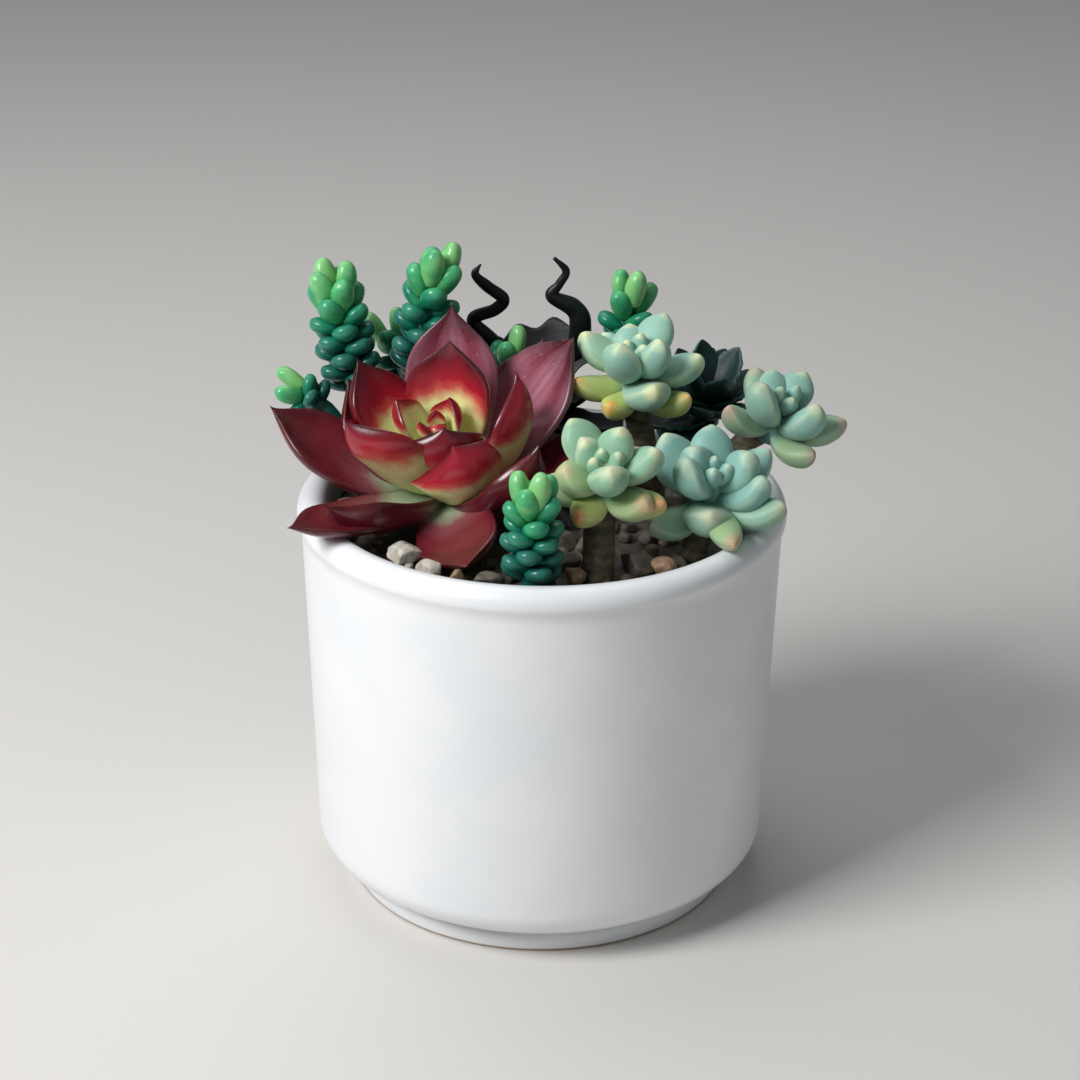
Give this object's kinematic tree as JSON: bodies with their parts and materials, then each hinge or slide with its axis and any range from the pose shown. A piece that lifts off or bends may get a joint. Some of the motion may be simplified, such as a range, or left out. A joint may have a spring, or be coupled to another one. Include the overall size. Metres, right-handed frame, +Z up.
{
  "type": "potted succulent arrangement",
  "caption": "Round glazed pot planted with a red echeveria, pale rosettes on bare stems, bead-leaved sprigs and dark toothed succulents.",
  "frame": {"origin": "on the pot's axis, at the flat underside that it stands on", "axes": "+Z up, -Y towards the side that the picture shows, +X to the right of that view"},
  "size_m": [0.1395, 0.118, 0.1544],
  "materials": {
    "glaze": "satin",
    "soil": "matte",
    "gravel": "matte",
    "red_leaf": "satin",
    "pale_leaf": "matte",
    "bark": "matte",
    "bead_leaf": "satin",
    "dark_leaf": "satin",
    "slate_leaf": "satin"
  },
  "bodies": {
    "root": {"pot": "glaze", "potting_soil": "soil", "gravel": "gravel", "echeveria_rosette": "red_leaf", "dark_agave": "dark_leaf", "toothed_agave": "slate_leaf", "pale_rosette_a": "pale_leaf", "pale_stem_a": "bark", "pale_rosette_b": "pale_leaf", "pale_stem_b": "bark", "pale_rosette_c": "pale_leaf", "pale_stem_c": "bark", "pale_rosette_d": "pale_leaf", "pale_stem_d": "bark", "bead_sprig_1": "bead_leaf", "bead_sprig_2": "bead_leaf", "bead_sprig_3": "bead_leaf", "bead_sprig_4": "bead_leaf", "bead_sprig_5": "bead_leaf", "bead_sprig_6": "bead_leaf", "bead_sprig_7": "bead_leaf"}
  },
  "joints": []
}
